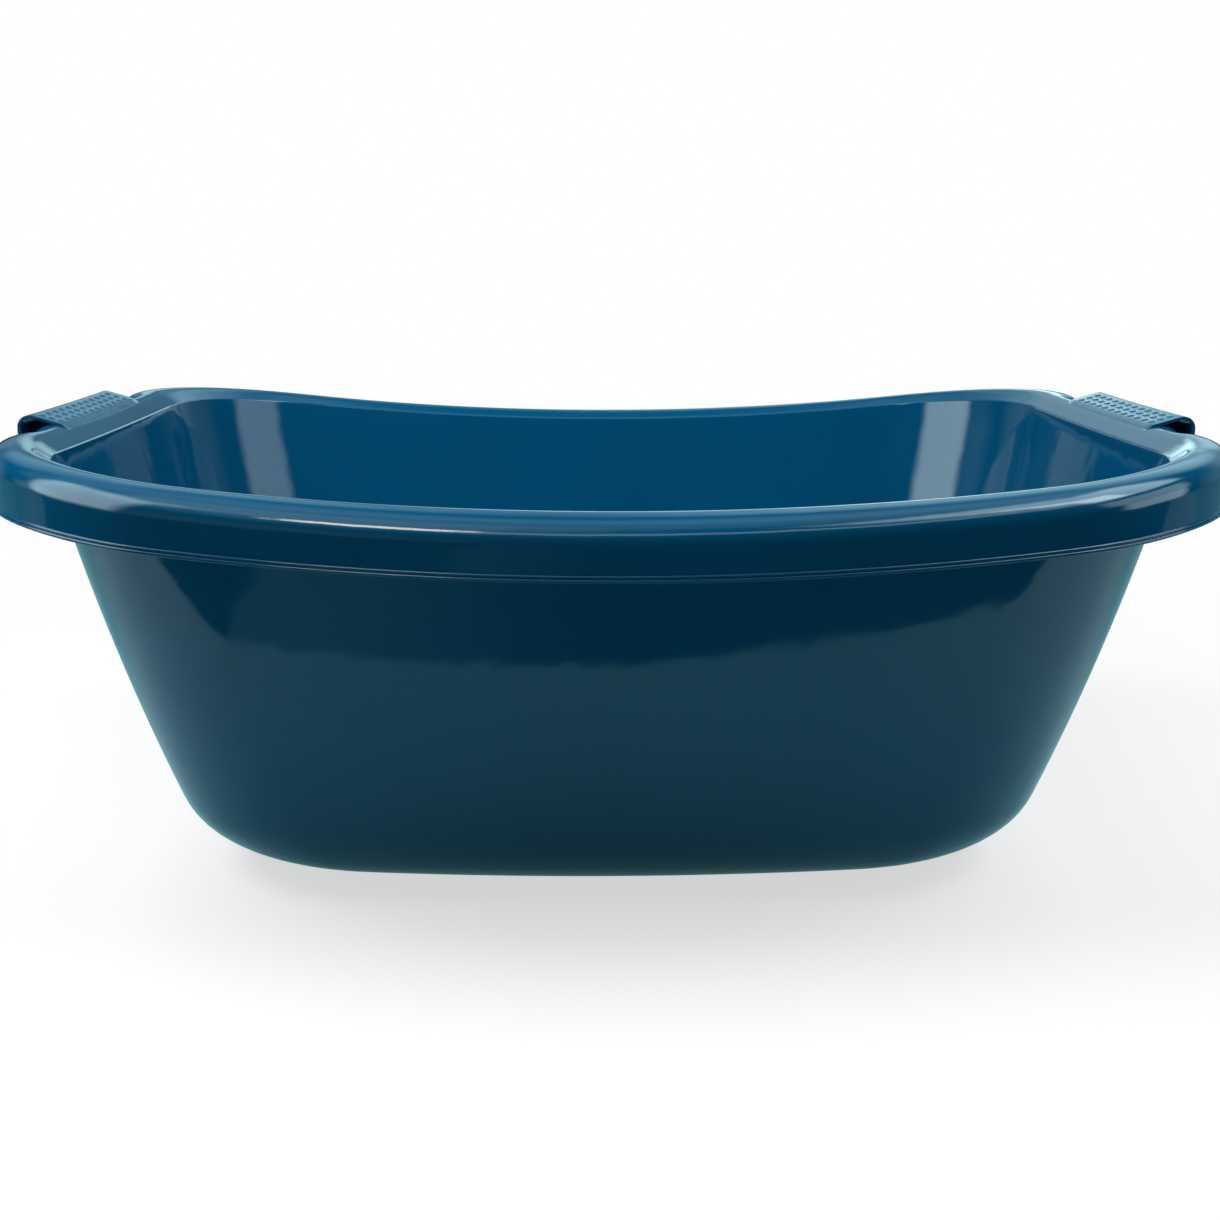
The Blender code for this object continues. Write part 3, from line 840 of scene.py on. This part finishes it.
def floor():
    mesh = bpy.data.meshes.new("floor")
    half = FLOOR_HALF
    corners = [(-half, -half, 0), (half, -half, 0), (half, half, 0), (-half, half, 0)]
    mesh.from_pydata(corners, [], [(0, 1, 2, 3)])
    made = bpy.data.objects.new("floor", mesh)
    bpy.context.scene.collection.objects.link(made)
    mesh.materials.append(floor_material())


def towards(turn, rise):
    """Unit vector at a turn from straight behind the basin and a rise, both in degrees.

    The turn runs clockwise as seen from above.
    """
    turn, rise = math.radians(turn), math.radians(rise)
    level = math.cos(rise)
    return Vector((math.sin(turn) * level, math.cos(turn) * level, math.sin(rise)))


def world():
    """White to the camera, and to reflections a studio of soft patches"""
    scene = bpy.context.scene
    scene.world = bpy.data.worlds.new("room")
    scene.world.use_nodes = True
    tree = scene.world.node_tree
    place = tree.nodes.new("ShaderNodeTexCoord").outputs["Generated"]
    total = None
    for turn, rise, reach, level in ROOM:
        near = vector_step(tree, "DOT_PRODUCT", place, towards(turn, rise))
        source = (math.cos(math.radians(reach)), 1)
        patch = spread(tree, near.outputs["Value"], source, (0, level))
        total = patch if total is None else combine(tree, "ADD", total, patch)
    room = tree.nodes["Background"]
    room.inputs["Color"].default_value = (*ROOM_COLOUR, 1)
    tree.links.new(total, room.inputs["Strength"])
    plain = add(tree, "ShaderNodeBackground", Color=(*WHITE, 1), Strength=AMBIENT)
    white = add(tree, "ShaderNodeBackground", Color=(*WHITE, 1))
    path = tree.nodes.new("ShaderNodeLightPath")
    unseen = mix_shaders(tree, path.outputs["Is Glossy Ray"], plain, room)
    pick = mix_shaders(tree, path.outputs["Is Camera Ray"], unseen, white)
    tree.links.new(pick.outputs["Shader"], tree.nodes["World Output"].inputs["Surface"])


def soften(light):
    """Let a soft box fade out towards its edges"""
    light.use_nodes = True
    tree = light.node_tree
    place = tree.nodes.new("ShaderNodeNewGeometry").outputs["Parametric"]
    middle = vector_step(tree, "SUBTRACT", place, (BOX_MIDDLE, BOX_MIDDLE, 0))
    far = vector_step(tree, "ABSOLUTE", middle.outputs["Vector"])
    parts = tree.nodes.new("ShaderNodeSeparateXYZ")
    tree.links.new(far.outputs["Vector"], parts.inputs["Vector"])
    source = (BOX_MIDDLE - BOX_SOFTNESS, BOX_MIDDLE)
    fades = [spread(tree, parts.outputs[axis], source, (1, 0)) for axis in "XY"]
    both = combine(tree, "MULTIPLY", *fades)
    tree.links.new(both, tree.nodes["Emission"].inputs["Strength"])


def soft_light(name, kind, colour, turn, rise, distance, width, height, level):
    """A soft box of a given brightness, 1 being white, for the gloss or for the matt colour"""
    light = bpy.data.lights.new(name, "AREA")
    light.shape = "RECTANGLE"
    light.size, light.size_y = width, height
    light.energy = level * math.pi * width * height
    light.color = colour
    if kind == "gloss":
        soften(light)
    aim = Vector(LIGHTS_AIM)
    made = bpy.data.objects.new(name, light)
    made.location = aim + towards(turn, rise) * distance
    made.rotation_euler = (aim - made.location).to_track_quat("-Z", "Y").to_euler()
    made.visible_camera = False
    made.visible_glossy = kind == "gloss"
    made.visible_diffuse = kind == "matt"
    bpy.context.scene.collection.objects.link(made)


def camera():
    pitch, yaw, roll = CAMERA_PITCH, CAMERA_YAW, CAMERA_ROLL
    ahead = math.cos(pitch)
    forward = Vector((-math.sin(yaw) * ahead, math.cos(yaw) * ahead, -math.sin(pitch)))
    level = Vector((math.cos(yaw), math.sin(yaw), 0))
    above = level.cross(forward)
    right = math.cos(roll) * level + math.sin(roll) * above
    up = -math.sin(roll) * level + math.cos(roll) * above
    data = bpy.data.cameras.new("camera")
    data.sensor_fit = "HORIZONTAL"
    data.sensor_width = CAMERA_SENSOR
    data.lens = CAMERA_LENS
    data.clip_start = CAMERA_CLIP
    made = bpy.data.objects.new("camera", data)
    turned = Matrix((right, up, -forward)).transposed()
    made.matrix_world = Matrix.Translation(CAMERA_PLACE) @ turned.to_4x4()
    bpy.context.scene.collection.objects.link(made)
    bpy.context.scene.camera = made


def main():
    scene = bpy.context.scene
    scene.view_settings.view_transform = "Standard"
    camera()
    world()
    floor()
    for light in LIGHTS:
        soft_light(*light)
    shell_piece = shell()
    foot_piece = foot()
    grips = [grip("grip_plate_left", -1, "grip_left"), grip("grip_plate_right", 1, "grip_right")]
    dress(shell_piece, plastic("shell_plastic", *SHELL_GLOSS))
    dress(foot_piece, plastic("foot_plastic", *FOOT_GLOSS))
    for made in grips:
        dress(made, plastic(made.name + "_plastic", *GRIP_GLOSS))


main()
